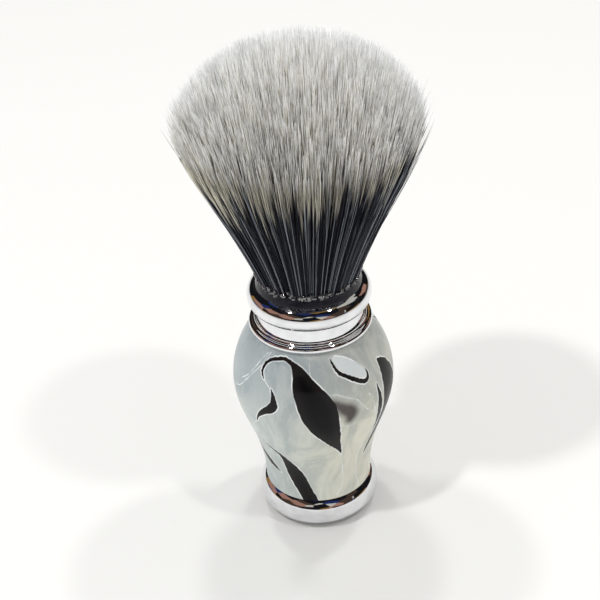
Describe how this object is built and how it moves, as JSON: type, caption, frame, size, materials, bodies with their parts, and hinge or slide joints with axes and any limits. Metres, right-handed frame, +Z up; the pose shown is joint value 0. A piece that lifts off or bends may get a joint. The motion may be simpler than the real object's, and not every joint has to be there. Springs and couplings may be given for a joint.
{
  "type": "shaving brush",
  "caption": "Lather brush: turned acrylic handle on a chrome base, with a screw-off chrome ferrule holding a flared, domed knot of soft fibres.",
  "frame": {"origin": "centre of the flat foot, on the surface that the brush stands on", "axes": "+Z up the brush's axis towards the fibre tips; +X and +Y are across it, and the handle's pattern faces -Y"},
  "size_m": [0.0512, 0.0512, 0.1169],
  "materials": {
    "chrome": "bright chrome plate on turned brass",
    "acrylic": "polished pearl acrylic, pale grey with black swirls and white veins",
    "brass": "turned, unplated",
    "steel": "zinc-plated steel fasteners",
    "seal_rubber": "smooth black rubber",
    "pad_rubber": "fine matte rubber",
    "resin": "gloss black cast resin",
    "binding_thread": "waxed thread",
    "fibre": "fine tapered synthetic fibres, charcoal at the root and pale grey at the tips"
  },
  "bodies": {
    "handle": {"base_cap": "chrome", "foot_pad": "pad_rubber", "base_screw": "steel", "lock_washer": "steel", "lower_bush": "brass", "handle_tube": "brass", "handle_body": "acrylic", "handle_collar": "chrome"},
    "seal": {"seal_ring": "seal_rubber"},
    "head": {"ferrule": "chrome", "ferrule_stud": "steel", "knot_plug": "resin", "knot_binding": "binding_thread", "bonding_resin": "resin", "fibre_knot": "fibre"}
  },
  "joints": [
    {"name": "head_rise", "type": "slide", "parent": "handle", "child": "seal", "axis": [0, 0, 1], "range_m": [0, 0.0075]},
    {"name": "head_unscrew", "type": "hinge", "parent": "seal", "child": "head", "pos_m": [0, 0, 0], "axis": [0, 0, 1], "range_deg": [0, 2160]}
  ],
  "couplings": [
    {"joint": "head_rise", "follows": "head_unscrew", "m_per_rad": 0.00019894}
  ]
}
